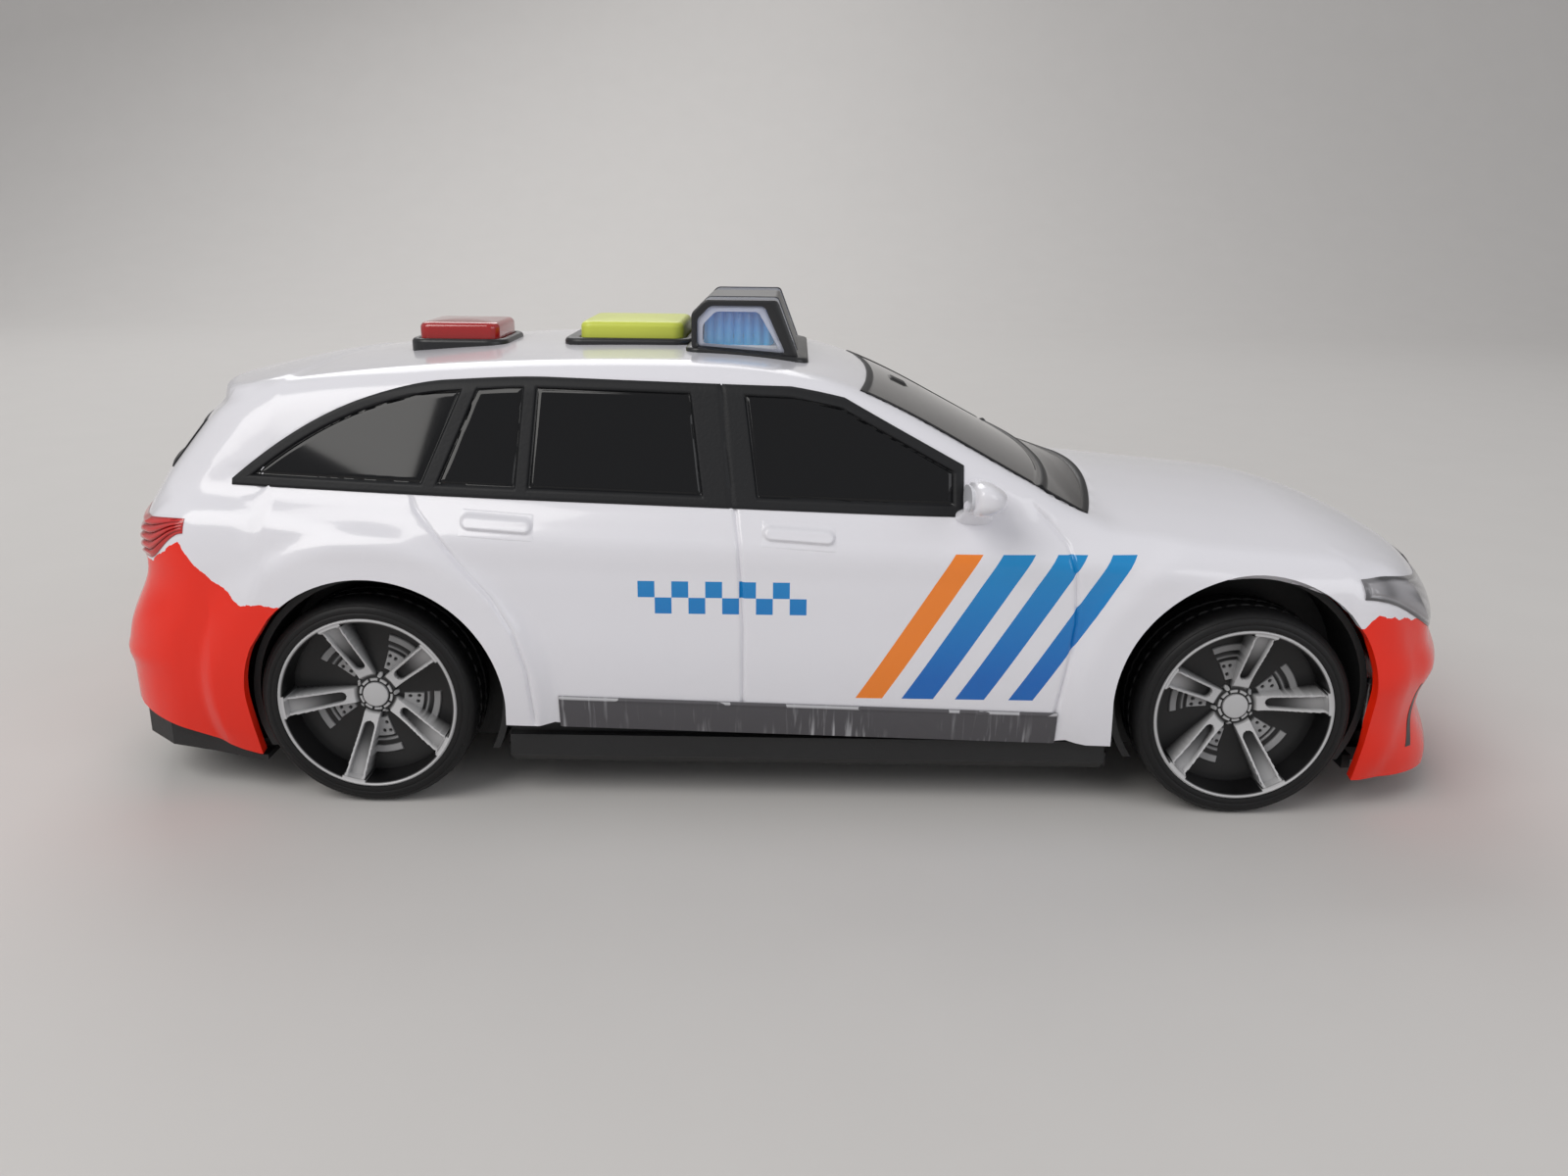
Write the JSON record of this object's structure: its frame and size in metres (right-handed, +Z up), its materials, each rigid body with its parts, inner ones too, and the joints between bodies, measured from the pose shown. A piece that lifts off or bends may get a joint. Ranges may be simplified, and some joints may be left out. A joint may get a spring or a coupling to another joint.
{
  "type": "toy police estate car",
  "caption": "Toy police estate car with free-rolling wheels, a roof lightbar, sprung press buttons on the roof and a slide switch underneath.",
  "frame": {"origin": "on the ground plane under the middle of the car's length and width", "axes": "+X forwards along the car, +Y to the car's left, +Z up"},
  "size_m": [0.3, 0.1316, 0.1035],
  "materials": {
    "body_white": "gloss white moulding with painted bumpers",
    "black_matte": "satin black moulding",
    "black_gloss": "gloss black",
    "lamp_grey": "gloss grey",
    "lamp_red": "gloss red",
    "trim_grey": "satin grey",
    "lime_plastic": "lime",
    "red_plastic": "clear red",
    "clear_plastic": "clear",
    "blue_lens": "clear blue",
    "board_green": "lacquered board",
    "steel": "plated",
    "speaker_grey": "satin",
    "cell_jacket": "plain jacket",
    "tyre_black": "satin",
    "rim_silver": "silver paint"
  },
  "bodies": {
    "car": {"body_shell": "body_white", "chassis": "black_matte", "windscreen": "black_gloss", "side_window_right": "black_gloss", "side_window_left": "black_gloss", "rear_window": "black_gloss", "headlamp_right": "lamp_grey", "headlamp_left": "lamp_grey", "taillight_right": "lamp_red", "taillight_left": "lamp_red", "grille": "black_matte", "sill_trim_right": "trim_grey", "sill_trim_left": "trim_grey", "mirror_right": "body_white", "mirror_left": "body_white", "roof_console": "black_matte", "horn_button_bezel": "black_matte", "siren_button_spring": "steel", "horn_button_spring": "steel", "lightbar_housing": "black_matte", "lightbar_cover_right": "clear_plastic", "lightbar_cover_left": "clear_plastic", "lightbar_lens_right": "blue_lens", "lightbar_lens_left": "blue_lens", "lightbar_leds": "clear_plastic", "lightbar_board": "board_green", "circuit_board": "board_green", "button_switches": "black_matte", "speaker": "speaker_grey", "speaker_retainer": "speaker_grey", "battery_cells": "cell_jacket", "battery_contacts": "steel", "battery_door": "black_matte", "battery_door_screw": "steel", "power_switch": "black_matte", "body_screws": "steel", "small_screws": "steel"},
    "front_wheels": {"front_axle": "steel", "tyre_front_right": "tyre_black", "tyre_front_left": "tyre_black", "rim_front_right": "rim_silver", "rim_front_left": "rim_silver"},
    "rear_wheels": {"rear_axle": "steel", "tyre_rear_right": "tyre_black", "tyre_rear_left": "tyre_black", "rim_rear_right": "rim_silver", "rim_rear_left": "rim_silver"},
    "siren_button": {"siren_button": "lime_plastic"},
    "horn_button": {"horn_button": "red_plastic"},
    "power_switch_knob": {"power_switch_knob": "red_plastic"}
  },
  "joints": [
    {"name": "front_axle_spin", "type": "hinge", "parent": "car", "child": "front_wheels", "pos_m": [0.095, 0, 0.0225], "axis": [0, 1, 0], "continuous": true},
    {"name": "rear_axle_spin", "type": "hinge", "parent": "car", "child": "rear_wheels", "pos_m": [-0.087, 0, 0.0225], "axis": [0, 1, 0], "continuous": true},
    {"name": "siren_button_press", "type": "slide", "parent": "car", "child": "siren_button", "axis": [0, 0, -1], "range_m": [0, 0.002], "stiffness_N_per_m": 400, "springref_m": -0.002, "deforming": ["siren_button_spring"]},
    {"name": "horn_button_press", "type": "slide", "parent": "car", "child": "horn_button", "axis": [0, 0, -1], "range_m": [0, 0.002], "stiffness_N_per_m": 400, "springref_m": -0.002, "deforming": ["horn_button_spring"]},
    {"name": "power_switch_slide", "type": "slide", "parent": "car", "child": "power_switch_knob", "axis": [1, 0, 0], "range_m": [0, 0.0035]}
  ]
}
